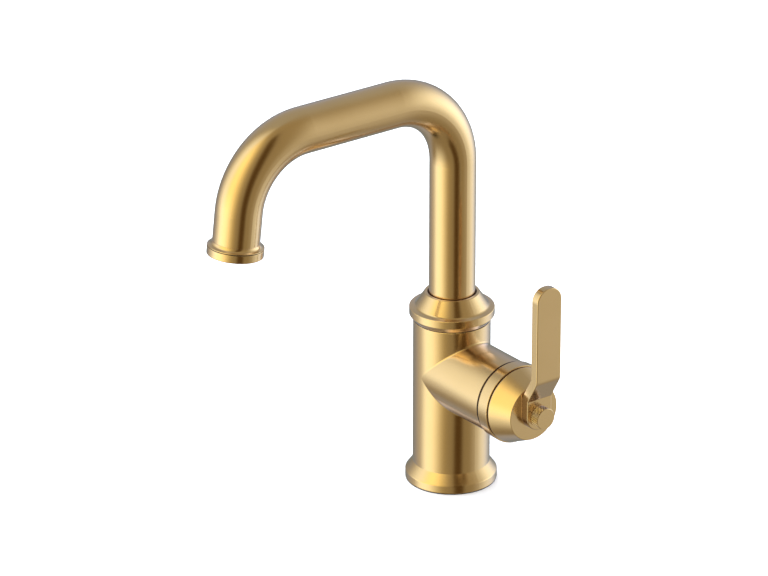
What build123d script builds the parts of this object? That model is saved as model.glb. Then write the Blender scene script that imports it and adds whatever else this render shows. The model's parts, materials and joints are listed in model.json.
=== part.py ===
from build123d import *
import math
import os

os.makedirs("parts", exist_ok=True)

# Bathroom sink faucet for a single counter hole: a round body with a valve branch on its right,
# a lever on the branch's end, and a bent tube spout that swivels in the top of the body.
# Millimetres, +Z up. The origin is on the counter, under the body's axis.
# The spout reaches towards -Y and the valve branch towards +X.

# Fits
turning_gap = 0.05      # round a journal that turns in its bore, per side
screwed_gap = 0.1       # round a screwed joint whose threads are left plain, per side
seated_gap = 0.1        # round a piece that drops into a recess, per side
free_gap = 0.3          # between pieces that move past each other, per side
end_play = 0.1          # lengthwise, of a turning piece between its shoulders
edge_round = 0.3        # on the turned edges that a hand can reach

# Counter flange and its gasket
gasket_thickness = 2.0
gasket_width = 3.4
gasket_lip = 1.5        # metal left between the gasket's groove and the neck
gasket_inset = 0.3      # of the gasket's thin rim inside the flange's edge
flange_gap = 0.4        # between the flange and the counter, filled by the gasket's rim
flange_radius = 25.3
flange_top = 10.5
flange_slope = 53.6     # degrees of the flange's cone
flange_round = 1.0
flange_lower_round = 0.5

# Body casting
neck_radius = 18.5
body_radius = 21.25
body_top = 95.2
branch_radius = 21.25
branch_axis = 65.3      # height of the branch's axis
branch_end = 50.3       # from the body's axis to the branch's end face
crease_round = 1.0

# Counter connections under the body
stud_thread_radius = 3.4
stud_depth = 14.0
stud_offset = 9.5       # behind the ports, towards -X
hose_thread_radius = 4.5
hose_thread_depth = 14.0
port_offset = 4.0       # of both hose ports from the body's axis, towards +X
port_spread = 6.5       # of each hose port and inlet passage from the middle plane
passage_radius = 3.2
inlet_drop = 8.5        # of the inlet ports below the branch's axis
outlet_passage_radius = 3.6

# Spout bearing in the top of the body
ledge_depth = 7.7       # below the body's top, of the shelf that carries the lower slip ring
socket_depth = 9.5      # below the ledge
sleeve_wall = 1.5       # of the sleeve that holds the tube
foot_wall = 6.05        # of the journal that turns in the socket
foot_step = 1.35        # from the sleeve out to the journal
slip_ring_width = 3.25  # of the ledge that the slip rings lie on
slip_ring_thickness = 1.0
foot_flange_thickness = 2.0
foot_flange_play = 0.4  # inside the slip rings' edge
sleeve_height = 12.5    # above the ledge
ring_cord = 1.65        # thickness of every O-ring
ring_groove_width = 2.2
foot_ring_depths = (5.1, 1.5)   # below the ledge
stop_pin_radius = 1.25
stop_pin_inset = 3.15   # from the journal's outside
stop_pin_length = 6.0
stop_pin_stand = 2.0    # above the socket's floor
swivel_limit = 60.0     # degrees to each side

# Spout tube
tube_radius = 12.7
tube_wall = 1.2
riser_top = 188.4
bend_radius = 41.1
run_length = 59.0       # level tube between the two bends
outlet_lean = 6.6       # degrees that the outlet leans away from the body
outlet_drop = 20.0      # straight tube below the second bend

# Collar that screws over the spout bearing, its seal and the wiper round the tube
seam_gap = 0.4          # left between two turned pieces for the seal that shows as a dark line
seam_depth = 0.08       # of that seal below the surface
seal_seat = 1.05        # from the surface in to the seal's inside
collar_foot_inset = 0.05
collar_underside = 2.9  # height of the slope under the rim
collar_overhang = 2.15  # of the rim outside the body
collar_rim_height = 4.2
collar_ledge = 3.1      # from the rim in to the cone
collar_ledge_rise = 0.5
collar_cone_height = 8.1
collar_lip = 2.2        # outside the tube, at the cone's top
collar_headroom = 1.0   # inside, above the sleeve
collar_rim_round = 0.4
collar_cove = 2.0
collar_lip_round = 0.6
collar_mouth_gap = 0.7  # round the tube, where the wiper sits
collar_mouth_depth = 1.4
collar_mouth_round = 0.25
wiper_depth = 0.5       # of the wiper below the collar's top

# Outlet and aerator, measured along the outlet's axis from the end of the second bend
outlet_wall = 1.3       # outside the spigot
outlet_shoulder_start = 15.9
outlet_flare_start = 1.3    # behind the shoulder's start, where the flare opens out
outlet_flare_step = 0.6
outlet_flare_round = 2.0
outlet_shoulder_length = 2.3
outlet_land = 0.3       # straight stretch between the shoulder and the seam
outlet_round = 0.2
spigot_wall = 1.2       # outside the tube
spigot_lip = 0.6
spigot_lip_step = 0.1   # outside the tube's bore
washer_thickness = 0.8
insert_flange = 1.0
housing_lip = 1.0
housing_round = 0.5
nozzle_inset = 2.0      # inside the spigot's outside
nozzle_stand = 0.6
insert_inset = 0.7      # inside the spigot's lip
insert_length = 9.0
insert_wall = 1.0
screen_thickness = 1.6
screen_hole = 1.5
screen_pitch = 2.1
screen_rim = 2.6        # round the field of the screen's holes
regulator_holes = 12
regulator_hole_radius = 0.8
regulator_rim = 3.4     # outside the ring of the regulator's holes

# Valve cartridge, measured along the branch from the body's axis
seat = 18.5
seal_stand = 0.3        # of the seals out of the cartridge's base
seal_thickness = 1.6
seal_width = 1.3
cartridge_radius = 17.5
cartridge_base_thickness = 5.2
peg_radius = 1.9
peg_length = 2.8
peg_side = 11.5
peg_rise = 6.5
disc_port_radius = 2.8
disc_port_circle = 9.5
disc_port_half_angle = 25.0
fixed_disc_radius = 14.2
fixed_disc_thickness = 3.5
key_radius = 1.1
key_circle = 13.0
key_height = 2.5
moving_disc_radius = 13.6
moving_disc_thickness = 4.0
channel_depth = 2.2
channel_half_angle = 15.0
lever_travel = 90.0     # degrees, from closed to full hot
carrier_thickness = 4.5
drive_lug_width = 4.0
drive_lug_inner = 9.0
drive_lug_height = 1.4
stop_lug_half_angle = 7.0
stop_lug_play = 1.0     # degrees left at each end of the travel
stop_lug_radius = 15.8
tang_width = 8.0
spindle_flange_radius = 7.0
spindle_flange_thickness = 2.5
spindle_radius = 5.0
spindle_ring_place = 6.5    # behind the spindle's shoulder
spindle_stand = 1.5     # of the spindle's shoulder beyond the housing's neck
housing_shoulder = 44.0
housing_neck_radius = 9.5
spline_radius = 4.0
spline_root = 3.5
spline_teeth = 20
spline_length = 10.0

# Cartridge nut and the ring that covers it
nut_thread_radius = 18.9
nut_thread_start = 41.0
nut_hexagon = 30.0      # across flats
nut_end = 56.5
trim_radius = 22.2
trim_slope = 1.5        # length of the slope from the branch's radius up to the full one
trim_end = 59.3
trim_bore = 10.0
wiper_width = 4.0       # of the soft ring between the trim ring and the hub

# Handle hub
hub_gap = 0.5           # between the trim ring and the turning hub
hub_rim_radius = 21.4
hub_rim_length = 0.6
hub_length = 12.55
hub_face_radius = 15.8
hub_wall = 2.3
hub_front_wall = 2.8
hub_boss_radius = 9.0
hub_boss_reach = 5.8    # behind the hub's back edge
hub_boss_gap = 0.5      # between the boss and the spindle's shoulder
hub_tenon = 9.0         # square that keys the lever to the hub
hub_tenon_height = 1.2
grub_screw_radius = 2.4
grub_screw_length = 8.0
grub_socket_radius = 1.2
grub_socket_depth = 2.6
grub_screw_place = 3.6  # from the hub's back edge
grub_screw_turn = 10.0  # degrees from straight down, towards the front

# Lever, bent from flat bar
lever_thickness = 5.0
lever_width = 16.3
lever_top = 142.2
lever_corner = 7.5
lever_step = 7.45       # outward, from the foot to the blade
lever_bend_gap = 3.9    # above the screw's head
lever_bend_angle = 30.0
lever_inner_bend = 0.8
lever_outer_bend = 4.5
lever_edge_round = 0.45

# Knurled screw that clamps the lever
screw_head_radius = 6.0
screw_head_height = 5.65
screw_head_bevel = 0.5
screw_shank_radius = 2.9
screw_shank_length = 10.0


upright = Plane.XZ
branch = Plane(origin=(0, 0, branch_axis), x_dir=(0, 0, 1), z_dir=(0, 1, 0))


def across(distance):
    """The plane square to the branch at a distance from the body's axis, its Y axis upright."""
    return Plane(origin=(distance, 0, branch_axis), x_dir=(0, 1, 0), z_dir=(1, 0, 0))


def turn(outline, section=upright, mode=Mode.ADD):
    """Revolve a closed outline about the section plane's Y axis.

    Each corner is a radius, a height and, where the corner is rounded, its rounding."""
    corners = [corner[:2] for corner in outline]
    rounding = [corner[2] if len(corner) > 2 else 0 for corner in outline]
    with BuildSketch(section) as half_section:
        with BuildLine():
            FilletPolyline(*corners, radius=rounding, close=True)
        make_face()
    revolve(half_section.sketch, axis=Axis(section.origin, section.y_dir), mode=mode)


def save(piece, name):
    """Label a finished piece and write it to its own file."""
    piece.part.label = name
    export_step(piece.part, f"parts/{name}.step")


# Base: a rubber gasket under a coned flange

neck_bore = neck_radius + screwed_gap
gasket_inner = neck_bore + gasket_lip
gasket_outer = gasket_inner + gasket_width
gasket_rim = flange_radius - gasket_inset

with BuildPart() as base_gasket:
    turn([
        (gasket_inner, 0),
        (gasket_rim, 0),
        (gasket_rim, flange_gap),
        (gasket_outer, flange_gap),
        (gasket_outer, gasket_thickness),
        (gasket_inner, gasket_thickness),
    ])
save(base_gasket, "base_gasket")

flange_edge = flange_top - (flange_radius - body_radius) * math.tan(math.radians(flange_slope))

with BuildPart() as base_ring:
    turn([
        (neck_bore, flange_gap),
        (flange_radius, flange_gap, flange_lower_round),
        (flange_radius, flange_edge, flange_round),
        (body_radius, flange_top),
        (neck_bore, flange_top),
    ])
    turn([
        (gasket_inner, flange_gap),
        (gasket_outer, flange_gap),
        (gasket_outer, gasket_thickness),
        (gasket_inner, gasket_thickness),
    ], mode=Mode.SUBTRACT)
save(base_ring, "base_ring")


# Body: a tee casting with the spout socket, the cartridge seat and the waterways

sleeve_radius = tube_radius + sleeve_wall
foot_radius = sleeve_radius + foot_step
foot_bore = foot_radius - foot_wall
slip_ring_radius = foot_radius + slip_ring_width
stop_pin_offset = foot_radius - stop_pin_inset
ledge_height = body_top - ledge_depth
socket_floor = ledge_height - socket_depth
socket_bore = foot_radius + turning_gap
collar_thread_bore = slip_ring_radius + seated_gap
cartridge_bore = cartridge_radius + seated_gap
nut_bore = nut_thread_radius + screwed_gap
inlet_spots = [(-port_spread, -inlet_drop), (port_spread, -inlet_drop)]
peg_spots = [(-peg_side, peg_rise), (peg_side, peg_rise)]
underside = Plane(origin=(0, 0, gasket_thickness), x_dir=(1, 0, 0), z_dir=(0, 0, -1))

with BuildPart() as body:
    turn([
        (0, gasket_thickness),
        (neck_radius, gasket_thickness),
        (neck_radius, flange_top),
        (body_radius, flange_top),
        (body_radius, body_top, edge_round),
        (0, body_top),
    ])
    turn([
        (0, 0),
        (branch_radius, 0),
        (branch_radius, branch_end, edge_round),
        (0, branch_end),
    ], branch)
    crease = body.edges().filter_by(lambda edge: edge.geom_type not in (GeomType.LINE, GeomType.CIRCLE))
    fillet(crease, crease_round)
    # Spout socket
    turn([
        (0, socket_floor),
        (socket_bore, socket_floor),
        (socket_bore, ledge_height),
        (collar_thread_bore, ledge_height),
        (collar_thread_bore, body_top),
        (0, body_top),
    ], mode=Mode.SUBTRACT)
    # Cartridge chamber
    turn([
        (0, seat),
        (cartridge_bore, seat),
        (cartridge_bore, nut_thread_start),
        (nut_bore, nut_thread_start),
        (nut_bore, branch_end),
        (0, branch_end),
    ], branch, Mode.SUBTRACT)
    # Waterways between the ports, the cartridge seat and the spout socket
    with Locations(across(seat)):
        with Locations(*inlet_spots):
            Hole(passage_radius, depth=seat - port_offset)
        with Locations(*peg_spots):
            Hole(peg_radius + seated_gap, depth=peg_length)
        Hole(outlet_passage_radius, depth=seat)
    with Locations((0, 0, socket_floor)):
        Hole(outlet_passage_radius, depth=socket_floor - branch_axis)
    with Locations(underside):
        with Locations((port_offset, -port_spread), (port_offset, port_spread)):
            CounterBoreHole(
                passage_radius,
                hose_thread_radius,
                hose_thread_depth,
                branch_axis - inlet_drop + passage_radius - gasket_thickness,
            )
        with Locations((-stud_offset, 0)):
            Hole(stud_thread_radius, depth=stud_depth)
    # Seat of the swivel's stop pin
    with Locations((0, stop_pin_offset, socket_floor)):
        Hole(stop_pin_radius, depth=stop_pin_length - stop_pin_stand)
save(body, "body")


# Spout bearing: stop pin, slip rings, O-rings, foot and collar

with BuildPart() as spout_stop_pin:
    with BuildSketch(Plane.XY.offset(socket_floor - stop_pin_length + stop_pin_stand)):
        with Locations((0, stop_pin_offset)):
            Circle(stop_pin_radius)
    extrude(amount=stop_pin_length)
save(spout_stop_pin, "spout_stop_pin")

foot_flange_bottom = ledge_height + slip_ring_thickness
foot_flange_top = foot_flange_bottom + foot_flange_thickness
upper_ring_bottom = foot_flange_top + end_play
collar_bottom = upper_ring_bottom + slip_ring_thickness
foot_flange_radius = slip_ring_radius - foot_flange_play
sleeve_top = ledge_height + sleeve_height
foot_ring_heights = [ledge_height - depth for depth in foot_ring_depths]
groove_radius = socket_bore - turning_gap - ring_cord

with BuildPart() as slip_ring_lower:
    turn([
        (foot_radius + free_gap, ledge_height),
        (slip_ring_radius, ledge_height),
        (slip_ring_radius, foot_flange_bottom),
        (foot_radius + free_gap, foot_flange_bottom),
    ])
save(slip_ring_lower, "slip_ring_lower")

with BuildPart() as slip_ring_upper:
    turn([
        (sleeve_radius + free_gap, upper_ring_bottom),
        (slip_ring_radius, upper_ring_bottom),
        (slip_ring_radius, collar_bottom),
        (sleeve_radius + free_gap, collar_bottom),
    ])
save(slip_ring_upper, "slip_ring_upper")

with BuildPart() as spout_foot:
    turn([
        (foot_bore, socket_floor + free_gap),
        (foot_radius, socket_floor + free_gap),
        (foot_radius, foot_flange_bottom),
        (foot_flange_radius, foot_flange_bottom),
        (foot_flange_radius, foot_flange_top),
        (sleeve_radius, foot_flange_top),
        (sleeve_radius, sleeve_top),
        (tube_radius, sleeve_top),
        (tube_radius, foot_flange_bottom),
        (foot_bore, foot_flange_bottom),
    ])
    for height in foot_ring_heights:
        turn([
            (groove_radius, height - ring_groove_width / 2),
            (foot_radius, height - ring_groove_width / 2),
            (foot_radius, height + ring_groove_width / 2),
            (groove_radius, height + ring_groove_width / 2),
        ], mode=Mode.SUBTRACT)
    # Arc slot that runs round the stop pin and ends the swivel
    with BuildSketch(Plane.XY.offset(socket_floor)):
        SlotArc(
            CenterArc((0, 0), stop_pin_offset, 90 - swivel_limit, 2 * swivel_limit),
            2 * (stop_pin_radius + free_gap),
        )
    extrude(amount=stop_pin_stand + free_gap, mode=Mode.SUBTRACT)
save(spout_foot, "spout_foot")


def o_ring(place, floor_radius, section=upright):
    """An O-ring that lies on its groove's floor."""
    with BuildSketch(section) as cord:
        with Locations((floor_radius + ring_cord / 2, place)):
            Circle(ring_cord / 2)
    revolve(cord.sketch, axis=Axis(section.origin, section.y_dir))


with BuildPart() as spout_o_ring_lower:
    o_ring(foot_ring_heights[0], groove_radius)
save(spout_o_ring_lower, "spout_o_ring_lower")

with BuildPart() as spout_o_ring_upper:
    o_ring(foot_ring_heights[1], groove_radius)
save(spout_o_ring_upper, "spout_o_ring_upper")

collar_foot = body_top + seam_gap
collar_rim_bottom = collar_foot + collar_underside
collar_rim_top = collar_rim_bottom + collar_rim_height
collar_cone_bottom = collar_rim_top + collar_ledge_rise
collar_top = collar_cone_bottom + collar_cone_height
collar_ceiling = sleeve_top + collar_headroom
collar_mouth_floor = collar_top - collar_mouth_depth
collar_bore = tube_radius + free_gap
collar_mouth = tube_radius + collar_mouth_gap
collar_radius = body_radius + collar_overhang
collar_seal_seat = body_radius - seal_seat

with BuildPart() as spout_collar:
    turn([
        (sleeve_radius + free_gap, collar_bottom),
        (slip_ring_radius, collar_bottom),
        (slip_ring_radius, body_top),
        (collar_seal_seat, body_top),
        (collar_seal_seat, collar_foot),
        (body_radius - collar_foot_inset, collar_foot),
        (collar_radius, collar_rim_bottom, collar_rim_round),
        (collar_radius, collar_rim_top, collar_rim_round),
        (collar_radius - collar_ledge, collar_cone_bottom, collar_cove),
        (tube_radius + collar_lip, collar_top, collar_lip_round),
        (collar_mouth, collar_top, collar_mouth_round),
        (collar_mouth, collar_mouth_floor),
        (collar_bore, collar_mouth_floor),
        (collar_bore, collar_ceiling),
        (sleeve_radius + free_gap, collar_ceiling),
    ])
save(spout_collar, "spout_collar")

with BuildPart() as collar_seal:
    turn([
        (collar_seal_seat, body_top),
        (body_radius - seam_depth, body_top),
        (body_radius - seam_depth, collar_foot),
        (collar_seal_seat, collar_foot),
    ])
save(collar_seal, "collar_seal")

with BuildPart() as spout_wiper:
    turn([
        (tube_radius + turning_gap, collar_mouth_floor),
        (collar_mouth, collar_mouth_floor),
        (collar_mouth, collar_top - wiper_depth),
        (tube_radius + turning_gap, collar_top - wiper_depth),
    ])
save(spout_wiper, "spout_wiper")


# Spout tube, swept along its centre line

bend_turn = math.radians(90 - outlet_lean)
outlet_direction = Vector(0, -math.cos(bend_turn), -math.sin(bend_turn))
second_bend_centre = Vector(0, -bend_radius - run_length, riser_top)
outlet_start = second_bend_centre + Vector(
    0, -bend_radius * math.sin(bend_turn), bend_radius * math.cos(bend_turn)
)
outlet = Plane(
    origin=outlet_start,
    x_dir=(1, 0, 0),
    z_dir=Vector(1, 0, 0).cross(outlet_direction),
)

with BuildPart() as spout_tube:
    with BuildLine(Plane.YZ):
        riser = Line((0, foot_flange_bottom), (0, riser_top))
        first_bend = JernArc(riser @ 1, riser % 1, bend_radius, 90)
        run = Line(first_bend @ 1, first_bend @ 1 + run_length * (first_bend % 1))
        second_bend = JernArc(run @ 1, run % 1, bend_radius, 90 - outlet_lean)
        Line(second_bend @ 1, second_bend @ 1 + outlet_drop * (second_bend % 1))
    with BuildSketch(Plane.XY.offset(foot_flange_bottom)):
        Circle(tube_radius)
        Circle(tube_radius - tube_wall, mode=Mode.SUBTRACT)
    sweep()
save(spout_tube, "spout_tube")


# Outlet: a collar on the tube's end, and the aerator that screws onto its spigot

spigot_radius = tube_radius + spigot_wall
spigot_lip_bore = tube_radius - tube_wall + spigot_lip_step
outlet_radius = spigot_radius + outlet_wall
nozzle_radius = spigot_radius - nozzle_inset
outlet_land_start = outlet_shoulder_start + outlet_shoulder_length
outlet_land_end = outlet_land_start + outlet_land
spigot_end = outlet_drop + spigot_lip
washer_end = spigot_end + washer_thickness
insert_flange_end = washer_end + insert_flange
housing_end = insert_flange_end + housing_lip
housing_bore = spigot_radius + screwed_gap
housing_start = outlet_land_end + seam_gap

with BuildPart() as outlet_collar:
    turn([
        (tube_radius, outlet_shoulder_start),
        (tube_radius + free_gap, outlet_shoulder_start),
        (tube_radius + outlet_flare_step, outlet_shoulder_start + outlet_flare_start, outlet_flare_round),
        (outlet_radius, outlet_land_start, outlet_round),
        (outlet_radius, outlet_land_end),
        (spigot_radius, outlet_land_end),
        (spigot_radius, spigot_end),
        (spigot_lip_bore, spigot_end),
        (spigot_lip_bore, outlet_drop),
        (tube_radius, outlet_drop),
    ], outlet)
save(outlet_collar, "outlet_collar")

with BuildPart() as outlet_seal:
    turn([
        (spigot_radius, outlet_land_end),
        (outlet_radius - seam_depth, outlet_land_end),
        (outlet_radius - seam_depth, housing_start),
        (spigot_radius, housing_start),
    ], outlet)
save(outlet_seal, "outlet_seal")

with BuildPart() as aerator_washer:
    turn([
        (spigot_lip_bore, spigot_end),
        (spigot_radius, spigot_end),
        (spigot_radius, washer_end),
        (spigot_lip_bore, washer_end),
    ], outlet)
save(aerator_washer, "aerator_washer")

with BuildPart() as aerator_housing:
    turn([
        (housing_bore, housing_start),
        (outlet_radius, housing_start, edge_round),
        (outlet_radius, housing_end, housing_round),
        (nozzle_radius + free_gap, housing_end, edge_round),
        (nozzle_radius + free_gap, insert_flange_end),
        (housing_bore, insert_flange_end),
    ], outlet)
save(aerator_housing, "aerator_housing")

insert_radius = spigot_lip_bore - insert_inset
insert_start = washer_end - insert_length
nozzle_end = insert_flange_end + nozzle_stand
screen_start = nozzle_end - screen_thickness
screen_field = nozzle_radius - screen_rim
screen_rows = int(screen_field / screen_pitch)
screen_spots = [
    (column * screen_pitch, row * screen_pitch)
    for column in range(-screen_rows, screen_rows + 1)
    for row in range(-screen_rows, screen_rows + 1)
    if math.hypot(column, row) * screen_pitch <= screen_field
]

with BuildPart() as aerator_insert:
    turn([
        (0, insert_start),
        (insert_radius, insert_start, edge_round),
        (insert_radius, washer_end),
        (spigot_radius, washer_end),
        (spigot_radius, insert_flange_end),
        (nozzle_radius, insert_flange_end),
        (nozzle_radius, nozzle_end, edge_round),
        (0, nozzle_end),
    ], outlet)
    turn([
        (0, insert_start + insert_wall),
        (insert_radius - insert_wall, insert_start + insert_wall),
        (insert_radius - insert_wall, screen_start),
        (0, screen_start),
    ], outlet, Mode.SUBTRACT)
    nozzle_face = Plane(
        origin=outlet_start + nozzle_end * outlet_direction,
        x_dir=(1, 0, 0),
        z_dir=outlet_direction,
    )
    with BuildSketch(nozzle_face):
        with Locations(*screen_spots):
            Rectangle(screen_hole, screen_hole)
    extrude(amount=-screen_thickness, mode=Mode.SUBTRACT)
    with BuildSketch(nozzle_face.offset(insert_start - nozzle_end)):
        with PolarLocations(insert_radius - regulator_rim, regulator_holes):
            Circle(regulator_hole_radius)
    extrude(amount=insert_wall, mode=Mode.SUBTRACT)
save(aerator_insert, "aerator_insert")


# Valve cartridge: seals, base, two ceramic discs, carrier, spindle and housing

base_start = seat + seal_stand
fixed_disc_start = base_start + cartridge_base_thickness
moving_disc_start = fixed_disc_start + fixed_disc_thickness
carrier_start = moving_disc_start + moving_disc_thickness
spindle_flange_start = carrier_start + carrier_thickness
chamber_end = spindle_flange_start + spindle_flange_thickness + end_play
chamber_radius = fixed_disc_radius + seated_gap
hub_back = trim_end + hub_gap
hub_boss_start = hub_back - hub_boss_reach
spindle_shoulder = hub_boss_start - hub_boss_gap
spindle_ring_middle = spindle_shoulder - spindle_ring_place
housing_neck_end = spindle_shoulder - spindle_stand
spindle_bore = spindle_radius + turning_gap
disc_port_spots = [
    (
        side * disc_port_circle * math.sin(math.radians(disc_port_half_angle)),
        -disc_port_circle * math.cos(math.radians(disc_port_half_angle)),
    )
    for side in (-1, 1)
]


def port_seal(spot, port):
    """A flat seal round one port of the cartridge's base."""
    with BuildSketch(across(seat)) as ring:
        with Locations(spot):
            Circle(port + seal_width)
            Circle(port, mode=Mode.SUBTRACT)
    extrude(ring.sketch, amount=seal_thickness)


with BuildPart() as cold_inlet_seal:
    port_seal(inlet_spots[0], passage_radius)
save(cold_inlet_seal, "cold_inlet_seal")

with BuildPart() as hot_inlet_seal:
    port_seal(inlet_spots[1], passage_radius)
save(hot_inlet_seal, "hot_inlet_seal")

with BuildPart() as mixed_outlet_seal:
    port_seal((0, 0), outlet_passage_radius)
save(mixed_outlet_seal, "mixed_outlet_seal")

inlet_step = cartridge_base_thickness / 2   # where the inlet ports step towards the disc's ports

with BuildPart() as cartridge_base:
    with BuildSketch(across(base_start)):
        Circle(cartridge_radius)
    extrude(amount=cartridge_base_thickness)
    with BuildSketch(across(base_start)):
        with Locations(*peg_spots):
            Circle(peg_radius)
    extrude(amount=seal_stand - peg_length)
    with BuildSketch(across(fixed_disc_start)):
        with PolarLocations(key_circle, 2):
            Circle(key_radius)
    extrude(amount=key_height)
    with BuildSketch(across(base_start)):
        with Locations(*inlet_spots):
            Circle(passage_radius + seal_width + seated_gap)
        Circle(outlet_passage_radius + seal_width + seated_gap)
    extrude(amount=seal_thickness - seal_stand, mode=Mode.SUBTRACT)
    with BuildSketch(across(base_start)):
        with Locations(*inlet_spots):
            Circle(passage_radius)
    extrude(amount=inlet_step, mode=Mode.SUBTRACT)
    with BuildSketch(across(fixed_disc_start)):
        with Locations(*disc_port_spots):
            Circle(disc_port_radius)
    extrude(amount=inlet_step - cartridge_base_thickness, mode=Mode.SUBTRACT)
    with BuildSketch(across(base_start)):
        Circle(outlet_passage_radius)
    extrude(amount=cartridge_base_thickness, mode=Mode.SUBTRACT)
save(cartridge_base, "cartridge_base")

with BuildPart() as ceramic_disc_fixed:
    with BuildSketch(across(fixed_disc_start)):
        Circle(fixed_disc_radius)
        with PolarLocations(key_circle, 2):
            SlotCenterPoint(
                (0, 0), (key_circle / 2, 0), 2 * (key_radius + seated_gap), mode=Mode.SUBTRACT
            )
        with Locations(*disc_port_spots):
            Circle(disc_port_radius, mode=Mode.SUBTRACT)
        Circle(outlet_passage_radius, mode=Mode.SUBTRACT)
    extrude(amount=fixed_disc_thickness)
save(ceramic_disc_fixed, "ceramic_disc_fixed")

# The moving disc's channel stands clear of both inlets when closed, and ends its travel on the hot one
channel_angle = 270 + disc_port_half_angle - lever_travel
channel_reach = disc_port_circle + disc_port_radius

with BuildPart() as ceramic_disc_moving:
    with BuildSketch(across(moving_disc_start)):
        Circle(moving_disc_radius)
    extrude(amount=moving_disc_thickness)
    with BuildSketch(across(moving_disc_start)):
        Circle(outlet_passage_radius)
        with BuildLine():
            sweep_start = channel_angle - channel_half_angle
            rim = CenterArc((0, 0), channel_reach, sweep_start, 2 * channel_half_angle)
            Line((0, 0), rim @ 0)
            Line((0, 0), rim @ 1)
        make_face()
    extrude(amount=channel_depth, mode=Mode.SUBTRACT)
    with BuildSketch(across(carrier_start)):
        with PolarLocations((drive_lug_inner + moving_disc_radius) / 2, 2, start_angle=channel_angle):
            Rectangle(moving_disc_radius - drive_lug_inner, drive_lug_width + 2 * seated_gap)
    extrude(amount=-drive_lug_height - end_play, mode=Mode.SUBTRACT)
save(ceramic_disc_moving, "ceramic_disc_moving")


def stop_sector(radius, half_angle, extra_travel):
    """A wedge from the axis, open from the closed position to the end of the lever's travel."""
    with BuildLine() as wedge:
        rim = CenterArc((0, 0), radius, 90 - half_angle, 2 * half_angle + extra_travel)
        Line((0, 0), rim @ 0)
        Line((0, 0), rim @ 1)
    make_face(wedge.edges())


with BuildPart() as disc_carrier:
    with BuildSketch(across(carrier_start)):
        Circle(moving_disc_radius)
        stop_sector(stop_lug_radius, stop_lug_half_angle, 0)
    extrude(amount=carrier_thickness)
    with BuildSketch(across(carrier_start)):
        with PolarLocations((drive_lug_inner + moving_disc_radius) / 2, 2, start_angle=channel_angle):
            Rectangle(moving_disc_radius - drive_lug_inner, drive_lug_width)
        Circle(moving_disc_radius, mode=Mode.INTERSECT)
    extrude(amount=-drive_lug_height)
    with BuildSketch(across(carrier_start)):
        Rectangle(tang_width + 2 * seated_gap, tang_width + 2 * seated_gap)
    extrude(amount=carrier_thickness, mode=Mode.SUBTRACT)
save(disc_carrier, "disc_carrier")


def spline(radius, root, teeth):
    """The outline of a straight spline, tips and roots turn by turn."""
    points = []
    for step in range(2 * teeth):
        reach = radius if step % 2 == 0 else root
        turned = math.pi * step / teeth
        points.append((reach * math.cos(turned), reach * math.sin(turned)))
    with BuildLine() as teeth_outline:
        Polyline(*points, close=True)
    make_face(teeth_outline.edges())


spindle_groove_radius = spindle_bore - turning_gap - ring_cord
spline_end = spindle_shoulder + spline_length

with BuildPart() as valve_spindle:
    with BuildSketch(across(spindle_flange_start)):
        Rectangle(tang_width, tang_width)
    extrude(amount=-carrier_thickness + end_play)
    turn([
        (0, spindle_flange_start),
        (spindle_flange_radius, spindle_flange_start),
        (spindle_flange_radius, spindle_flange_start + spindle_flange_thickness),
        (spindle_radius, spindle_flange_start + spindle_flange_thickness),
        (spindle_radius, spindle_ring_middle - ring_groove_width / 2),
        (spindle_groove_radius, spindle_ring_middle - ring_groove_width / 2),
        (spindle_groove_radius, spindle_ring_middle + ring_groove_width / 2),
        (spindle_radius, spindle_ring_middle + ring_groove_width / 2),
        (spindle_radius, spindle_shoulder),
        (0, spindle_shoulder),
    ], branch)
    with BuildSketch(across(spindle_shoulder)):
        spline(spline_radius, spline_root, spline_teeth)
    extrude(amount=spline_length)
save(valve_spindle, "valve_spindle")

with BuildPart() as spindle_o_ring:
    o_ring(spindle_ring_middle, spindle_groove_radius, branch)
save(spindle_o_ring, "spindle_o_ring")

with BuildPart() as cartridge_housing:
    turn([
        (chamber_radius, fixed_disc_start),
        (cartridge_radius, fixed_disc_start),
        (cartridge_radius, housing_shoulder),
        (housing_neck_radius, housing_shoulder),
        (housing_neck_radius, housing_neck_end),
        (spindle_bore, housing_neck_end),
        (spindle_bore, chamber_end),
        (chamber_radius, chamber_end),
    ], branch)
    # Recess whose ends stop the carrier's lug
    with BuildSketch(across(fixed_disc_start)):
        stop_sector(stop_lug_radius + free_gap, stop_lug_half_angle + stop_lug_play, lever_travel)
    extrude(amount=spindle_flange_start - fixed_disc_start, mode=Mode.SUBTRACT)
save(cartridge_housing, "cartridge_housing")

nut_passage = housing_neck_radius + free_gap

with BuildPart() as cartridge_nut:
    turn([
        (nut_passage, housing_shoulder),
        (nut_thread_radius, housing_shoulder),
        (nut_thread_radius, branch_end),
        (nut_passage, branch_end),
    ], branch)
    with BuildSketch(across(branch_end)):
        RegularPolygon(nut_hexagon / 2, 6, major_radius=False)
        Circle(nut_passage, mode=Mode.SUBTRACT)
    extrude(amount=nut_end - branch_end)
save(cartridge_nut, "cartridge_nut")

trim_inner = nut_hexagon / math.sqrt(3) + seated_gap
trim_foot = branch_end + seam_gap
branch_seal_seat = branch_radius - seal_seat

with BuildPart() as branch_trim_ring:
    turn([
        (trim_inner, branch_end),
        (branch_seal_seat, branch_end),
        (branch_seal_seat, trim_foot),
        (branch_radius, trim_foot),
        (trim_radius, trim_foot + trim_slope, edge_round),
        (trim_radius, trim_end, edge_round),
        (trim_bore, trim_end),
        (trim_bore, nut_end + seated_gap),
        (trim_inner, nut_end + seated_gap),
    ], branch)
save(branch_trim_ring, "branch_trim_ring")

with BuildPart() as branch_seal:
    turn([
        (branch_seal_seat, branch_end),
        (branch_radius - seam_depth, branch_end),
        (branch_radius - seam_depth, trim_foot),
        (branch_seal_seat, trim_foot),
    ], branch)
save(branch_seal, "branch_seal")

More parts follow.
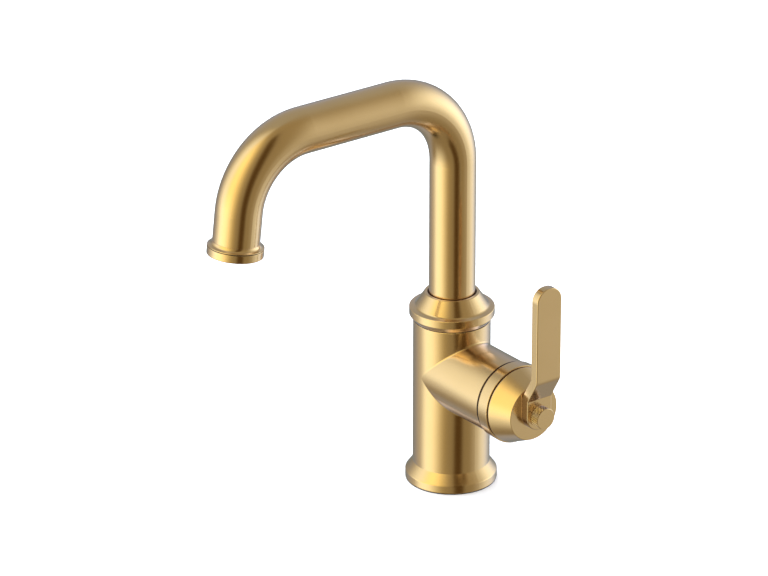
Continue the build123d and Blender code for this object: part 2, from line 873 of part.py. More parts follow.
wiper_radius = hub_rim_radius - seam_depth

with BuildPart() as hub_wiper:
    turn([
        (wiper_radius - wiper_width, trim_end),
        (wiper_radius, trim_end),
        (wiper_radius, hub_back - end_play),
        (wiper_radius - wiper_width, hub_back - end_play),
    ], branch)
save(hub_wiper, "hub_wiper")


# Handle: hub on the spindle, grub screw, lever and its knurled screw

hub_face = hub_back + hub_length
hub_floor = hub_face - hub_front_wall
hub_taper = (hub_rim_radius - hub_face_radius) / (hub_length - hub_rim_length)
grub_screw_hole = grub_screw_radius + screwed_gap
screw_hole_depth = hub_tenon_height + screw_shank_length - lever_thickness + free_gap

with BuildPart() as handle_hub:
    turn([
        (0, hub_back),
        (hub_rim_radius, hub_back, edge_round / 2),
        (hub_rim_radius, hub_back + hub_rim_length, edge_round / 2),
        (hub_face_radius, hub_face, edge_round),
        (0, hub_face),
    ], branch)
    turn([
        (hub_boss_radius, hub_back),
        (hub_rim_radius - hub_wall, hub_back),
        (hub_rim_radius - hub_wall - hub_taper * (hub_floor - hub_back), hub_floor),
        (hub_boss_radius, hub_floor),
    ], branch, Mode.SUBTRACT)
    with BuildSketch(across(hub_boss_start)):
        Circle(hub_boss_radius)
    extrude(amount=hub_floor - hub_boss_start)
    with BuildSketch(across(hub_face)):
        Rectangle(hub_tenon, hub_tenon)
    extrude(amount=hub_tenon_height)
    # Socket for the spindle's spline, and the thread for the lever's screw
    with BuildSketch(across(hub_boss_start)):
        spline(spline_radius + seated_gap, spline_root + seated_gap, spline_teeth)
    extrude(amount=spline_end + free_gap - hub_boss_start, mode=Mode.SUBTRACT)
    with Locations(across(hub_face + hub_tenon_height)):
        Hole(screw_shank_radius + screwed_gap, depth=screw_hole_depth)
    # Tapped hole in the underside for the grub screw
    grub_turn = math.radians(grub_screw_turn)
    grub_hole_mouth = Plane(
        origin=(hub_back + grub_screw_place, 0, branch_axis),
        x_dir=(1, 0, 0),
        z_dir=(0, -math.sin(grub_turn), -math.cos(grub_turn)),
    )
    with BuildSketch(grub_hole_mouth):
        Circle(grub_screw_hole)
    extrude(amount=hub_rim_radius, mode=Mode.SUBTRACT)
save(handle_hub, "handle_hub")

with BuildPart() as hub_grub_screw:
    with BuildSketch(grub_hole_mouth.offset(spline_radius)):
        Circle(grub_screw_radius)
    extrude(amount=grub_screw_length)
    with BuildSketch(grub_hole_mouth.offset(spline_radius + grub_screw_length)):
        RegularPolygon(grub_socket_radius, 6)
    extrude(amount=-grub_socket_depth, mode=Mode.SUBTRACT)
save(hub_grub_screw, "hub_grub_screw")

lever_front = hub_face + lever_thickness
lever_bend_height = branch_axis + screw_head_radius + lever_bend_gap
bend_slope = math.radians(lever_bend_angle)
upper_bend_height = lever_bend_height + lever_step / math.tan(bend_slope)
mitre = lever_thickness * math.tan(bend_slope / 2)
lever_foot = branch_axis - lever_width / 2

with BuildPart() as lever:
    with BuildSketch(Plane.XZ):
        with BuildLine():
            FilletPolyline(
                (hub_face, lever_foot),
                (lever_front, lever_foot),
                (lever_front, lever_bend_height),
                (lever_front + lever_step, upper_bend_height),
                (lever_front + lever_step, lever_top),
                (hub_face + lever_step, lever_top),
                (hub_face + lever_step, upper_bend_height + mitre),
                (hub_face, lever_bend_height + mitre),
                radius=[0, 0, lever_inner_bend, lever_outer_bend, 0, 0, lever_inner_bend, lever_outer_bend],
                close=True,
            )
        make_face()
    extrude(amount=lever_width / 2, both=True)
    with BuildSketch(across(hub_face)) as front_outline:
        Rectangle(lever_width, lever_top - branch_axis, align=(Align.CENTER, Align.MIN))
        fillet(front_outline.vertices().group_by(Axis.Y)[-1], lever_corner)
        Circle(lever_width / 2)
    extrude(amount=lever_thickness + lever_step, mode=Mode.INTERSECT)
    outer_edges = lever.edges().filter_by(Axis.X, reverse=True)
    bend_edges = outer_edges.filter_by(Axis.Y).filter_by_position(
        Axis.Z, branch_axis, lever_top - lever_corner
    )
    fillet(outer_edges - bend_edges, lever_edge_round)
    with BuildSketch(across(hub_face)):
        Rectangle(hub_tenon + 2 * seated_gap, hub_tenon + 2 * seated_gap)
    extrude(amount=hub_tenon_height + seated_gap, mode=Mode.SUBTRACT)
    with Locations(across(lever_front)):
        Hole(screw_shank_radius + seated_gap, depth=lever_thickness)
save(lever, "lever")

with BuildPart() as lever_screw:
    turn([
        (0, lever_front - screw_shank_length),
        (screw_shank_radius, lever_front - screw_shank_length),
        (screw_shank_radius, lever_front),
        (screw_head_radius, lever_front),
        (screw_head_radius, lever_front + screw_head_height - screw_head_bevel),
        (screw_head_radius - screw_head_bevel, lever_front + screw_head_height),
        (0, lever_front + screw_head_height),
    ], branch)
save(lever_screw, "lever_screw")
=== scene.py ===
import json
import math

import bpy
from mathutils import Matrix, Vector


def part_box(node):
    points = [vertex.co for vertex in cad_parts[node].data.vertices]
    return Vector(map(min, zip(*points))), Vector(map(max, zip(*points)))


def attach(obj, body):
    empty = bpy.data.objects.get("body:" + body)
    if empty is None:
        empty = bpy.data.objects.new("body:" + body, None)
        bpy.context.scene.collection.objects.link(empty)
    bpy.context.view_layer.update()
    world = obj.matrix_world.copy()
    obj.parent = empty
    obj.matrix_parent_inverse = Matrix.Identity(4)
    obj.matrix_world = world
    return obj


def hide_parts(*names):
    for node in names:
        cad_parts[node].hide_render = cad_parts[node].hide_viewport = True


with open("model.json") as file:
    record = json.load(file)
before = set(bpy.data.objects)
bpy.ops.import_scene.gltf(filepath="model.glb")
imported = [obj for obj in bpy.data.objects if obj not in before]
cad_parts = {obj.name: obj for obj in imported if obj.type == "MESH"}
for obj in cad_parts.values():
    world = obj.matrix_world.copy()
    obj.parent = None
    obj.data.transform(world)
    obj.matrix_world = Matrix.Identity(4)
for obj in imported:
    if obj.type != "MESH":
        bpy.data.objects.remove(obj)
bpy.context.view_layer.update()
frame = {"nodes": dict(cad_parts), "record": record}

# %% [markdown]
# # Dressing a sink faucet
#
# The frame brings in the faucet as solid pieces: a round body with a valve branch on its right, a flat
# bent lever, and a tube spout that swivels. They already have the right shapes and places, so they stay
# as they are. This lesson gives them a camera, a studio and finishes, and models the one piece whose
# detail is finer than the solids hold: the lever's screw with its knurled head.

MM = 0.001

# %% [markdown]
# ## The camera
#
# A product photographer shoots a faucet from far away with a long lens, so that its upright lines stay
# nearly parallel. The photograph's camera stands to the right of the spout and a little above it. It
# could be aimed with a Track To constraint at an empty. Here its place is worked out from its two
# angles instead, because then the aim, the distance and the two small offsets can each be set alone.

# %% Place the camera
VIEW_AZIMUTH = math.radians(53.20)
VIEW_ELEVATION = math.radians(23.78)
LENS_MM = 238.90
SENSOR_MM = 36.0
FARTHEST_SEEN = 20.0
# where the faucet's origin lies from the camera, in metres
ORIGIN_RIGHT, ORIGIN_DOWN, ORIGIN_AWAY = 0.03700, 0.10322, 2.81549

towards_camera = Vector((
    math.sin(VIEW_AZIMUTH) * math.cos(VIEW_ELEVATION),
    -math.cos(VIEW_AZIMUTH) * math.cos(VIEW_ELEVATION),
    math.sin(VIEW_ELEVATION),
))
camera_right = Vector((math.cos(VIEW_AZIMUTH), math.sin(VIEW_AZIMUTH), 0))
camera_down = camera_right.cross(towards_camera)

camera_data = bpy.data.cameras.new("photo_camera")
camera_data.sensor_width = SENSOR_MM
camera_data.lens = LENS_MM
camera_data.clip_end = FARTHEST_SEEN
camera = bpy.data.objects.new("photo_camera", camera_data)
bpy.context.collection.objects.link(camera)
camera.rotation_mode = "QUATERNION"
camera.rotation_quaternion = towards_camera.to_track_quat("Z", "Y")
camera.location = (
    ORIGIN_AWAY * towards_camera - ORIGIN_RIGHT * camera_right - ORIGIN_DOWN * camera_down
)
bpy.context.scene.camera = camera
print("camera at", tuple(round(v, 4) for v in camera.location))

# %% [markdown]
# ## A plain floor
#
# The floor is one large pale sheet. It could be a cyclorama that curves up behind the object, but the
# background here is an even white, which a flat floor and a white backdrop colour give more simply.
# Polished metal mirrors everything round it, the floor too. The studio below gives the metal its
# surroundings on all sides, so the floor is hidden from reflections and from shadow rays, and only the
# camera and the soft light see it.

# %% Lay the floor
FLOOR_SIZE = 12.0
FLOOR_TONES = (0.86, 0.86, 0.86), (0.88, 0.88, 0.88)
FLOOR_ROUGHNESS, FLOOR_SHINE = 0.8, 0.2
MOTTLE_SCALE = 3.0


def add_mix(tree, factor, first, second):
    """A colour mix, from the first colour at 0 to the second at 1. Either may be another node's output."""
    node = tree.nodes.new("ShaderNodeMix")
    node.data_type = "RGBA"
    tree.links.new(factor, node.inputs["Factor"])
    for socket, colour in (("A", first), ("B", second)):
        if isinstance(colour, tuple):
            node.inputs[socket].default_value = (*colour, 1)
        else:
            tree.links.new(colour, node.inputs[socket])
    return node.outputs["Result"]


bpy.ops.object.select_all(action="DESELECT")
bpy.ops.mesh.primitive_plane_add(size=FLOOR_SIZE, location=(0, 0, 0))
floor = bpy.context.object
floor.name = "floor"
floor.visible_glossy = False
floor.visible_shadow = False

floor_paint = bpy.data.materials.new("floor_paint")
floor_paint.use_nodes = True
tree = floor_paint.node_tree
shader = tree.nodes["Principled BSDF"]
shader.inputs["Roughness"].default_value = FLOOR_ROUGHNESS
shader.inputs["Specular IOR Level"].default_value = FLOOR_SHINE
mottle = tree.nodes.new("ShaderNodeTexNoise")
mottle.inputs["Scale"].default_value = MOTTLE_SCALE
tree.links.new(add_mix(tree, mottle.outputs["Fac"], *FLOOR_TONES), shader.inputs["Base Color"])
floor.data.materials.append(floor_paint)
print("floor is", FLOOR_SIZE, "m across")

# %% [markdown]
# ## The studio
#
# What polished metal looks like is mostly what it mirrors. The photograph's tubes show the same bands
# from top to bottom: a wide bright band on the left, a narrow dark stripe right of the middle, and a
# soft bright band near the right edge. So the studio has three overlapping soft panels in front, a tall
# dark flag on the right, a large soft light behind, and a cool dim side with a grey wall on the left,
# in an even grey room. They could be area lights and cards on stands. Here they are drawn into the
# world's shader by direction, because then they also shine from below the horizon, where the upright
# tubes mirror them, and nothing has to stand in the picture.
#
# One node group draws a soft-edged panel: it turns the direction to the panel's middle and fades its
# four sides.

# %% Build the soft panel group
def add_math(tree, operation, *values):
    """A math node whose inputs are numbers or other nodes' outputs."""
    node = tree.nodes.new("ShaderNodeMath")
    node.operation = operation
    for place, value in enumerate(values):
        if isinstance(value, (int, float)):
            node.inputs[place].default_value = value
        else:
            tree.links.new(value, node.inputs[place])
    return node.outputs[0]


def add_fade(tree, value, zero_at, one_at):
    """A smooth ramp from 0 to 1 between two values, which may also be outputs."""
    node = tree.nodes.new("ShaderNodeMapRange")
    node.interpolation_type = "SMOOTHSTEP"
    tree.links.new(value, node.inputs["Value"])
    for socket, bound in (("From Min", zero_at), ("From Max", one_at)):
        if isinstance(bound, (int, float)):
            node.inputs[socket].default_value = bound
        else:
            tree.links.new(bound, node.inputs[socket])
    return node.outputs[0]


soft_panel = bpy.data.node_groups.new("soft_panel", "ShaderNodeTree")
soft_panel.interface.new_socket("Direction", in_out="INPUT", socket_type="NodeSocketVector")
for name in (
    "Azimuth", "Left", "Left Fade", "Right", "Right Fade", "Bottom", "Bottom Fade", "Top", "Top Fade",
):
    soft_panel.interface.new_socket(name, in_out="INPUT", socket_type="NodeSocketFloat")
soft_panel.interface.new_socket("Mask", in_out="OUTPUT", socket_type="NodeSocketFloat")
group_in = soft_panel.nodes.new("NodeGroupInput")
group_out = soft_panel.nodes.new("NodeGroupOutput")
turned = soft_panel.nodes.new("ShaderNodeVectorRotate")
turned.rotation_type = "Z_AXIS"
soft_panel.links.new(group_in.outputs["Direction"], turned.inputs["Vector"])
soft_panel.links.new(
    add_math(soft_panel, "MULTIPLY", group_in.outputs["Azimuth"], -math.pi / 180), turned.inputs["Angle"]
)
parts = soft_panel.nodes.new("ShaderNodeSeparateXYZ")
soft_panel.links.new(turned.outputs[0], parts.inputs[0])
backwards = add_math(soft_panel, "MULTIPLY", parts.outputs["Y"], -1.0)
across = add_math(soft_panel, "ARCTAN2", parts.outputs["X"], backwards)
across = add_math(soft_panel, "DEGREES", across)
height = add_math(soft_panel, "DEGREES", add_math(soft_panel, "ARCSINE", parts.outputs["Z"]))
mask = None
for value, edge, fade, side in (
    (across, "Left", "Left Fade", -1), (across, "Right", "Right Fade", 1),
    (height, "Bottom", "Bottom Fade", -1), (height, "Top", "Top Fade", 1),
):
    half = add_math(soft_panel, "MULTIPLY", group_in.outputs[fade], 0.5 * side)
    outside = add_math(soft_panel, "ADD", group_in.outputs[edge], half)
    inside = add_math(soft_panel, "SUBTRACT", group_in.outputs[edge], half)
    ramp = add_fade(soft_panel, value, outside, inside)
    mask = ramp if mask is None else add_math(soft_panel, "MULTIPLY", mask, ramp)
soft_panel.links.new(mask, group_out.inputs["Mask"])
print("soft panel group has", len(soft_panel.nodes), "nodes")

# %% [markdown]
# The room's grey grows a little lighter towards the ceiling. Each panel then mixes its own light over
# the room by its mask. Angles are in degrees: azimuth 0 is straight in front of the spout and 90 is the
# lever's side, and an edge is where its fade is half way. The bright panels are bluer than they look,
# because the gold takes most of the blue out of what it mirrors. Straight below, the ground is nearly
# black: undersides that face it, such as the outlet's rim, show a dark edge in the photograph. The
# camera itself sees a plain white backdrop, by way of Light Path.

# %% Light the studio
ROOM_LOW, ROOM_HIGH = (0.25, 0.25, 0.25), (0.31, 0.31, 0.31)
PANELS = [
    # name, light, azimuth, left, fade, right, fade, bottom, fade, top, fade
    ("cool_side", (0.350, 0.417, 0.603), -125, -61, 105, 52, 35, -95, 30, 104, 35),
    ("far_wall", (0.222, 0.250, 0.253), -127, -51, 25, 42, 37, -59, 28, 4, 27),
    ("front_left", (1.04, 1.29, 1.92), -45, -16, 49, 35.7, 48, -23.7, 34, 75, 65),
    ("front_high", (1.40, 1.42, 1.13), 30, -53.2, 34, -7.3, 62, -18.6, 42, 64.5, 43),
    ("front_low", (2.38, 3.02, 4.40), -10, -30.6, 28, 19.7, 50, -21.4, 101, -16.2, 67),
    ("back_light", (2.13, 2.74, 4.40), 166, -24.5, 79.5, 17.1, 75, -20.6, 74.5, 23.3, 73),
    ("dark_flag", (0.072, 0.046, 0.022), 71, -10.8, 13.6, 14.2, 14.4, -52, 8, 66, 14),
]
GROUND_LIGHT = (0.010, 0.008, 0.005)
GROUND_TOP, GROUND_FADE_TOP = -0.995, -0.965    # heights on the unit sphere
BACKDROP = (1.0, 1.0, 1.0)

world = bpy.data.worlds.new("studio")
bpy.context.scene.world = world
world.use_nodes = True
tree = world.node_tree
background = tree.nodes["Background"]
compass = tree.nodes.new("ShaderNodeTexCoord")
direction = compass.outputs["Generated"]
world_parts = tree.nodes.new("ShaderNodeSeparateXYZ")
tree.links.new(direction, world_parts.inputs[0])
upwards = world_parts.outputs["Z"]
light = add_mix(tree, add_fade(tree, upwards, -1.0, 1.0), ROOM_LOW, ROOM_HIGH)
for name, colour, *angles in PANELS:
    panel = tree.nodes.new("ShaderNodeGroup")
    panel.node_tree = soft_panel
    panel.name = name
    tree.links.new(direction, panel.inputs["Direction"])
    for socket, angle in zip(list(panel.inputs)[1:], angles):
        socket.default_value = angle
    light = add_mix(tree, panel.outputs["Mask"], light, colour)
light = add_mix(tree, add_fade(tree, upwards, GROUND_TOP, GROUND_FADE_TOP), GROUND_LIGHT, light)
light_path = tree.nodes.new("ShaderNodeLightPath")
light = add_mix(tree, light_path.outputs["Is Camera Ray"], light, BACKDROP)
tree.links.new(light, background.inputs["Color"])
print("studio has", len(PANELS), "panels")

# %% [markdown]
# The floor needs more light than the metal, to come out white. One wide area light hangs overhead for
# it. It is hidden from the camera and from reflections, so that it leaves no extra band on the tubes,
# and its size keeps the contact shadow faint and soft. The plain colour view keeps the finish's strong
# yellows, which a film-like view would wash out.

# %% Hang the overhead light
OVERHEAD_SIZE, OVERHEAD_HEIGHT, OVERHEAD_WATTS = 4.0, 2.2, 165.0

overhead_data = bpy.data.lights.new("overhead", "AREA")
overhead_data.shape = "SQUARE"
overhead_data.size = OVERHEAD_SIZE
overhead_data.energy = OVERHEAD_WATTS
overhead = bpy.data.objects.new("overhead", overhead_data)
bpy.context.collection.objects.link(overhead)
overhead.location = (0, 0, OVERHEAD_HEIGHT)
overhead.visible_camera = False
overhead.visible_glossy = False
bpy.context.scene.view_settings.view_transform = "Standard"
print("overhead light of", OVERHEAD_WATTS, "W at", OVERHEAD_HEIGHT, "m")

# %% [markdown]
# ## Finishes
#
# The faucet has one visible finish, a satin brushed gold: metal that mirrors the studio softly, with a
# clear hard coat that catches a little white at the edges. A perfectly even shader looks like plastic
# film, so a shared node group adds what a real polished surface has: tiny changes of tone, fine grain
# in the roughness and a shallow bump. Each material calls it with its own colours and amounts. The
# pattern reads Object coordinates, in metres, so it is the same size on every piece.

# %% Build the fine surface group
GRAIN_DETAIL, PATCH_DETAIL = 3.0, 2.0
PATCH_LOW, PATCH_HIGH = 0.3, 0.7


def add_noise(tree, vector, size, detail):
    """A noise pattern whose lumps are about the given size, in metres."""
    node = tree.nodes.new("ShaderNodeTexNoise")
    node.inputs["Detail"].default_value = detail
    tree.links.new(vector, node.inputs["Vector"])
    tree.links.new(add_math(tree, "DIVIDE", 1.0, size), node.inputs["Scale"])
    return node.outputs["Fac"]


fine_surface = bpy.data.node_groups.new("fine_surface", "ShaderNodeTree")
for name, kind, default in (
    ("Vector", "NodeSocketVector", None),
    ("Color", "NodeSocketColor", (0.8, 0.8, 0.8, 1)),
    ("Shade", "NodeSocketColor", (0.7, 0.7, 0.7, 1)),
    ("Roughness", "NodeSocketFloat", 0.3),
    ("Roughness Change", "NodeSocketFloat", 0.03),
    ("Grain Size", "NodeSocketFloat", 0.0004),
    ("Patch Size", "NodeSocketFloat", 0.02),
):
    socket = fine_surface.interface.new_socket(name, in_out="INPUT", socket_type=kind)
    if default is not None:
        socket.default_value = default
for name, kind in (
    ("Color", "NodeSocketColor"), ("Roughness", "NodeSocketFloat"), ("Height", "NodeSocketFloat"),
):
    fine_surface.interface.new_socket(name, in_out="OUTPUT", socket_type=kind)
group_in = fine_surface.nodes.new("NodeGroupInput")
group_out = fine_surface.nodes.new("NodeGroupOutput")
given = group_in.outputs
grain = add_noise(fine_surface, given["Vector"], given["Grain Size"], GRAIN_DETAIL)
patch = add_noise(fine_surface, given["Vector"], given["Patch Size"], PATCH_DETAIL)
patch_mask = add_fade(fine_surface, patch, PATCH_LOW, PATCH_HIGH)
tone = add_mix(fine_surface, patch_mask, given["Shade"], given["Color"])
fine_surface.links.new(tone, group_out.inputs["Color"])
spread = add_math(fine_surface, "SUBTRACT", grain, 0.5)
spread = add_math(fine_surface, "MULTIPLY", spread, given["Roughness Change"])
spread = add_math(fine_surface, "ADD", spread, given["Roughness"])
fine_surface.links.new(spread, group_out.inputs["Roughness"])
fine_surface.links.new(grain, group_out.inputs["Height"])
print("fine surface group has", len(fine_surface.nodes), "nodes")


def make_finish(
    name, colour, shade, metallic, roughness, change, grain_size, bump, mirrored=None, **shader_values
):
    """A material that places the fine surface group with its own values.

    Its colour wanders between the colour and the shade, and its roughness by the change. The grain size
    is in metres. The mirrored colour, where one is given, is how the finish shows in another piece's
    reflection. The shader values go to the shader's sockets of those names.
    """
    material = bpy.data.materials.new(name)
    material.use_nodes = True
    tree = material.node_tree
    shader = tree.nodes["Principled BSDF"]
    shader.inputs["Metallic"].default_value = metallic
    for socket, value in shader_values.items():
        shader.inputs[socket.replace("_", " ")].default_value = value
    place = tree.nodes.new("ShaderNodeTexCoord")
    surface = tree.nodes.new("ShaderNodeGroup")
    surface.node_tree = fine_surface
    surface.inputs["Color"].default_value = (*colour, 1)
    surface.inputs["Shade"].default_value = (*shade, 1)
    surface.inputs["Roughness"].default_value = roughness
    surface.inputs["Roughness Change"].default_value = change
    surface.inputs["Grain Size"].default_value = grain_size
    tree.links.new(place.outputs["Object"], surface.inputs["Vector"])
    colour_output = surface.outputs["Color"]
    if mirrored is not None:
        ray = tree.nodes.new("ShaderNodeLightPath")
        colour_output = add_mix(tree, ray.outputs["Is Glossy Ray"], colour_output, mirrored)
    tree.links.new(colour_output, shader.inputs["Base Color"])
    tree.links.new(surface.outputs["Roughness"], shader.inputs["Roughness"])
    relief = tree.nodes.new("ShaderNodeBump")
    relief.inputs["Strength"].default_value = bump
    relief.inputs["Distance"].default_value = grain_size
    tree.links.new(surface.outputs["Height"], relief.inputs["Height"])
    tree.links.new(relief.outputs["Normal"], shader.inputs["Normal"])
    return material


# %% [markdown]
# The gold gets its coat here. Gold that mirrors gold turns orange, since each mirror takes out more
# blue. The photograph's corners stay pale, so another piece's reflection sees the gold in a paler
# colour, by way of Light Path. The hidden pieces get plainer finishes: machined brass on the spout's
# foot, the nut and the spindle, black rubber on the seals, pale moulded plastic on the cartridge, white
# ceramic on the valve's discs and steel on the two small pins. The thin seals that show as dark lines
# between the gold pieces are a matt brownish rubber that stands in for the shade in those gaps: partly
# a real seal, partly painted shade.

# %% Mix the finishes
satin_gold = make_finish(
    "satin_gold", (0.97, 0.570, 0.160), (0.95, 0.555, 0.152), metallic=1.0, roughness=0.20,
    change=0.05, grain_size=0.0003, bump=0.015, mirrored=(0.80, 0.64, 0.48),
    Coat_Weight=1.0, Coat_Roughness=0.12, Coat_IOR=1.5,
)
machined_brass = make_finish(
    "machined_brass", (0.80, 0.60, 0.32), (0.74, 0.54, 0.28), metallic=1.0, roughness=0.32,
    change=0.12, grain_size=0.0005, bump=0.05,
)
pin_steel = make_finish(
    "pin_steel", (0.60, 0.60, 0.62), (0.52, 0.52, 0.54), metallic=1.0, roughness=0.30,
    change=0.10, grain_size=0.0004, bump=0.03,
)
black_rubber = make_finish(
    "black_rubber", (0.022, 0.022, 0.023), (0.014, 0.014, 0.015), metallic=0.0, roughness=0.62,
    change=0.15, grain_size=0.0006, bump=0.12,
)
# painted shade: the seals' dark brown rubber stands in for the shade in the gaps between gold pieces
shade_line_rubber = make_finish(
    "shade_line_rubber", (0.030, 0.014, 0.004), (0.020, 0.009, 0.003), metallic=0.0, roughness=0.70,
    change=0.15, grain_size=0.0006, bump=0.12, Specular_IOR_Level=0.2,
)
slip_plastic = make_finish(
    "slip_plastic", (0.86, 0.86, 0.83), (0.80, 0.80, 0.77), metallic=0.0, roughness=0.45,
    change=0.08, grain_size=0.0005, bump=0.04,
)
aerator_plastic = make_finish(
    "aerator_plastic", (0.58, 0.59, 0.60), (0.50, 0.51, 0.52), metallic=0.0, roughness=0.42,
    change=0.10, grain_size=0.0005, bump=0.05,
)
cartridge_plastic = make_finish(
    "cartridge_plastic", (0.82, 0.82, 0.78), (0.76, 0.76, 0.72), metallic=0.0, roughness=0.50,
    change=0.10, grain_size=0.0006, bump=0.05,
)
lapped_ceramic = make_finish(
    "lapped_ceramic", (0.90, 0.89, 0.87), (0.86, 0.85, 0.83), metallic=0.0, roughness=0.18,
    change=0.04, grain_size=0.0003, bump=0.01,
)
print("mixed the finishes from", satin_gold.name, "to", lapped_ceramic.name)

# %% [markdown]
# Where two gold pieces meet, and at the bottom of each groove of a knurl, the gold gets painted shade:
# a dark tone that stands in for the shade in those narrow gaps. The render's own shade could give it,
# but such grooves are narrower than a pixel. A short helper paints the dark tone over a finish where a
# mask says so, and takes the shine of its coat away there.

# %% Paint shade into the seam
# painted shade: the band along the branch where the seam's shade is painted, and its dark tone
SEAM_FROM, SEAM_TO, SEAM_FADE = 49.85 * MM, 50.7 * MM, 0.2 * MM
PAINTED_SHADE_TONE = (0.055, 0.026, 0.007)


def paint_shade(material, mask):
    """Paint shade: lay the dark tone over a finish where the mask is 1, and take its coat away there."""
    tree = material.node_tree
    shader = tree.nodes["Principled BSDF"]
    finished = shader.inputs["Base Color"].links[0].from_socket
    tree.links.new(add_mix(tree, mask, finished, PAINTED_SHADE_TONE), shader.inputs["Base Color"])
    tree.links.new(add_math(tree, "SUBTRACT", 1.0, mask), shader.inputs["Coat Weight"])


def object_place(tree):
    """The three parts of the Object coordinates, in metres."""
    place = tree.nodes.new("ShaderNodeTexCoord")
    parts = tree.nodes.new("ShaderNodeSeparateXYZ")
    tree.links.new(place.outputs["Object"], parts.inputs[0])
    return parts.outputs


# paint shade across the seam between the branch and its trim ring
tree = satin_gold.node_tree
along = object_place(tree)["X"]
past_start = add_fade(tree, along, SEAM_FROM - SEAM_FADE, SEAM_FROM)
before_end = add_fade(tree, along, SEAM_TO + SEAM_FADE, SEAM_TO)
paint_shade(satin_gold, add_math(tree, "MULTIPLY", past_start, before_end))
print("seam shaded from", round(SEAM_FROM / MM, 2), "to", round(SEAM_TO / MM, 2), "mm along the branch")

# %% [markdown]
# Every solid takes the finish of the material slot that its record names, so that no piece is forgotten
# and a piece that changes slot follows by itself.

# %% Dress the solids
FINISH_OF_SLOT = {
    "brushed_gold": satin_gold,
    "plain_brass": machined_brass,
    "steel": pin_steel,
    "rubber": black_rubber,
    "slip_plastic": slip_plastic,
    "aerator_plastic": aerator_plastic,
    "cartridge_plastic": cartridge_plastic,
    "ceramic": lapped_ceramic,
}
# the seals in the seams take the dark rubber, as painted shade for those gaps
SEAM_SEALS = ("collar_seal", "spout_wiper", "outlet_seal", "branch_seal", "hub_wiper")
slot_of_node = {entry["node"]: entry["material_slot"] for entry in frame["record"]["subparts"]}
for node, solid in frame["nodes"].items():
    solid.data.materials.clear()
    finish = shade_line_rubber if node in SEAM_SEALS else FINISH_OF_SLOT[slot_of_node[node]]
    solid.data.materials.append(finish)
print("dressed", len(frame["nodes"]), "solids")

# %% [markdown]
# ## The knurled screw
#
# The lever is clamped by a screw with a round head, about 12 mm across. A diamond knurl runs round the
# head: two sets of slanted grooves that cross and leave rows of small pyramids, for the fingers to
# grip. It could be a bump texture, but the head shows its outline, so the pyramids are real. Cutting
# each groove with a boolean would be slow and leave thin slivers. Here a tube of square faces is poked
# and its first edges are dissolved, which turns the squares into diamonds, and a second poke raises
# each diamond to a pyramid. The pyramids are low, so that their sides still mirror the lights in front,
# as they do in the photograph.

# %% Measure the screw
BRANCH_AXIS = 65.3 * MM
HEAD_BACK = 77.35 * MM
HEAD_LENGTH = 5.65 * MM
HEAD_RADIUS = 6.0 * MM
KNURL_ROOT = 5.70 * MM
KNURL_TEETH = 33
KNURL_ROWS = 4
HEAD_COLLAR = 0.20 * MM     # plain stretch behind and before the knurl
COLLAR_RADIUS = 0.985 * HEAD_RADIUS
HEAD_FACE_RADIUS = 5.7 * MM
FACE_INSET = 0.05 * MM
RISE_LENGTH = 0.02 * MM     # in which a collar rises from the knurl's root
SHANK_RADIUS = 2.9 * MM
SHANK_LENGTH = 10.0 * MM
SAME_RING = 0.01 * MM       # vertices closer together than this along the axis are in one ring

lowest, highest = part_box("lever_screw")
for word, corner in (("from", lowest), ("to", highest)):
    print("screw's solid", word, tuple(round(v / MM, 2) for v in corner))


def squeeze_ring(factor):
    """Scale what is selected towards the branch's axis, square to it."""
    bpy.ops.transform.resize(value=(1, factor, factor), center_override=(0, 0, BRANCH_AXIS))


def extend_ring(distance):
    """Extrude the selected ring along the branch."""
    bpy.ops.mesh.extrude_region_move(TRANSFORM_OT_translate={"value": (distance, 0, 0)})


def axis_reach(vertex):
    """How far a vertex lies from the branch's axis."""
    return math.hypot(vertex.co.y, vertex.co.z - BRANCH_AXIS)


def select_vertices(piece, wanted):
    """Select the vertices that a rule picks by their place."""
    bpy.ops.object.mode_set(mode="OBJECT")
    for part in (*piece.data.polygons, *piece.data.edges):
        part.select = False
    for vertex in piece.data.vertices:
        vertex.select = wanted(vertex)
    bpy.ops.object.mode_set(mode="EDIT")
    bpy.ops.mesh.select_mode(type="VERT")


# %% Roll the knurl
knurl_start = HEAD_BACK + HEAD_COLLAR
knurl_length = HEAD_LENGTH - 2 * HEAD_COLLAR

bpy.ops.object.select_all(action="DESELECT")
bpy.ops.mesh.primitive_circle_add(
    vertices=KNURL_TEETH, radius=KNURL_ROOT,
    location=(knurl_start, 0, BRANCH_AXIS), rotation=(0, math.pi / 2, 0),
)
screw = bpy.context.object
screw.name = "knurled_screw"
bpy.ops.object.transform_apply(location=True, rotation=True, scale=True)
bpy.ops.object.mode_set(mode="EDIT")
bpy.ops.mesh.select_all(action="SELECT")
for _ in range(KNURL_ROWS):
    extend_ring(knurl_length / KNURL_ROWS)
bpy.ops.mesh.select_all(action="SELECT")
bpy.ops.mesh.poke()
bpy.ops.object.mode_set(mode="OBJECT")
corner_count = KNURL_TEETH * (KNURL_ROWS + 1)
knurl_end = knurl_start + knurl_length


def on_an_end(edge):
    """True for an edge that lies in the knurl's first or last ring."""
    places = [screw.data.vertices[i].co.x for i in edge.vertices]
    return max(places) - knurl_start < SAME_RING or knurl_end - min(places) < SAME_RING


bpy.ops.object.mode_set(mode="EDIT")
bpy.ops.mesh.select_mode(type="EDGE")
bpy.ops.mesh.select_all(action="DESELECT")
bpy.ops.object.mode_set(mode="OBJECT")
for edge in screw.data.edges:
    edge.select = max(edge.vertices) < corner_count and not on_an_end(edge)
bpy.ops.object.mode_set(mode="EDIT")
bpy.ops.mesh.dissolve_edges(use_verts=False)
centre_reach = KNURL_ROOT * math.cos(math.pi / KNURL_TEETH)
select_vertices(screw, lambda v: axis_reach(v) < (centre_reach + KNURL_ROOT) / 2)
squeeze_ring(KNURL_ROOT / centre_reach)
print("diamonds:", sum(len(face.vertices) == 4 for face in screw.data.polygons))

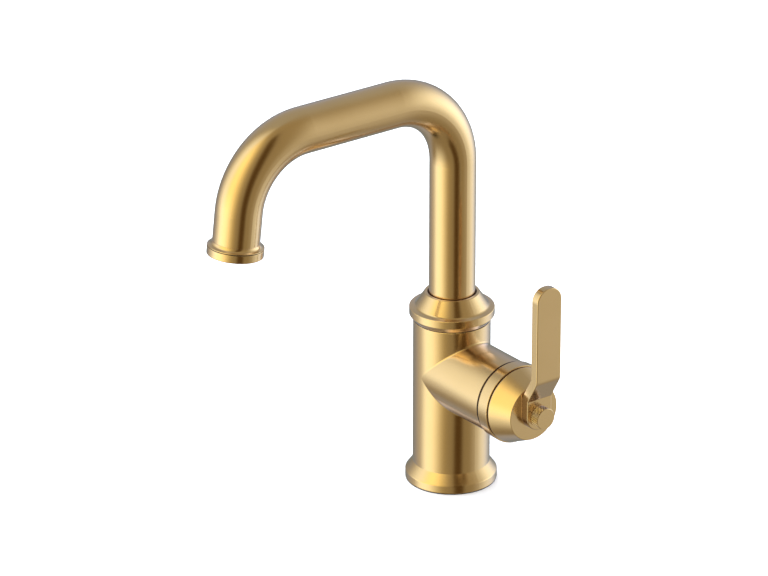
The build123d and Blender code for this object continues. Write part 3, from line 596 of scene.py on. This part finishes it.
# %% Raise the pyramids
bpy.ops.object.mode_set(mode="OBJECT")
root_count = len(screw.data.vertices)
for face in screw.data.polygons:
    face.select = len(face.vertices) == 4
bpy.ops.object.mode_set(mode="EDIT")
bpy.ops.mesh.select_mode(type="FACE")
bpy.ops.mesh.poke()
select_vertices(screw, lambda v: v.index >= root_count)
bpy.ops.object.mode_set(mode="OBJECT")
peak_reach = max(axis_reach(v) for v in screw.data.vertices if v.index >= root_count)
bpy.ops.object.mode_set(mode="EDIT")
squeeze_ring(HEAD_RADIUS / peak_reach)
print("pyramids rise", round((HEAD_RADIUS - KNURL_ROOT) / MM, 2), "mm")

# %% [markdown]
# The knurl's grooves get painted shade, so they are darker than its peaks. The same helper paints it by
# the distance from the branch's axis, so the dark tone sits at the pyramids' feet and the polished peaks
# stay bright.

# %% Paint shade into the knurl's grooves
PIT_REACH, PEAK_REACH = 5.71 * MM, 5.86 * MM
KNURL_EDGE_FADE = 0.1 * MM

knurled_gold = satin_gold.copy()
knurled_gold.name = "knurled_gold"
tree = knurled_gold.node_tree
parts = object_place(tree)
above_axis = add_math(tree, "SUBTRACT", parts["Z"], BRANCH_AXIS)
reach = add_math(tree, "SQRT", add_math(
    tree, "ADD", add_math(tree, "POWER", parts["Y"], 2.0), add_math(tree, "POWER", above_axis, 2.0)
))
# painted shade: dark at the pyramids' feet, none at their peaks
groove = add_fade(tree, reach, PEAK_REACH, PIT_REACH)
on_the_side = add_fade(tree, parts["X"], knurl_end + KNURL_EDGE_FADE, knurl_end)
paint_shade(knurled_gold, add_math(tree, "MULTIPLY", groove, on_the_side))
print("grooves shaded below", round(PEAK_REACH / MM, 2), "mm from the axis")

# %% [markdown]
# The head is closed at both ends. In front a narrow collar rises to full size and a bevel leads to the
# flat face. Behind, another collar meets the lever, and the shank goes on through it into the hub.

# %% Close the head
SMOOTH_BELOW = math.radians(20)

select_vertices(screw, lambda v: knurl_end - v.co.x < SAME_RING)
extend_ring(RISE_LENGTH)
squeeze_ring(COLLAR_RADIUS / KNURL_ROOT)
extend_ring(HEAD_COLLAR - RISE_LENGTH)
squeeze_ring(HEAD_FACE_RADIUS / COLLAR_RADIUS)
bpy.ops.mesh.edge_face_add()
bpy.ops.mesh.inset(thickness=FACE_INSET)

select_vertices(screw, lambda v: v.co.x - knurl_start < SAME_RING)
extend_ring(-RISE_LENGTH)
squeeze_ring(COLLAR_RADIUS / KNURL_ROOT)
extend_ring(RISE_LENGTH - HEAD_COLLAR)
extend_ring(0)
squeeze_ring(SHANK_RADIUS / COLLAR_RADIUS)
extend_ring(-SHANK_LENGTH)
bpy.ops.mesh.edge_face_add()
bpy.ops.mesh.select_all(action="SELECT")
bpy.ops.mesh.normals_make_consistent(inside=False)
bpy.ops.object.mode_set(mode="OBJECT")
bpy.ops.object.shade_smooth_by_angle(angle=SMOOTH_BELOW)
screw.data.materials.append(knurled_gold)
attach(screw, "handle")
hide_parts("lever_screw")
print("knurled screw has", len(screw.data.polygons), "faces")
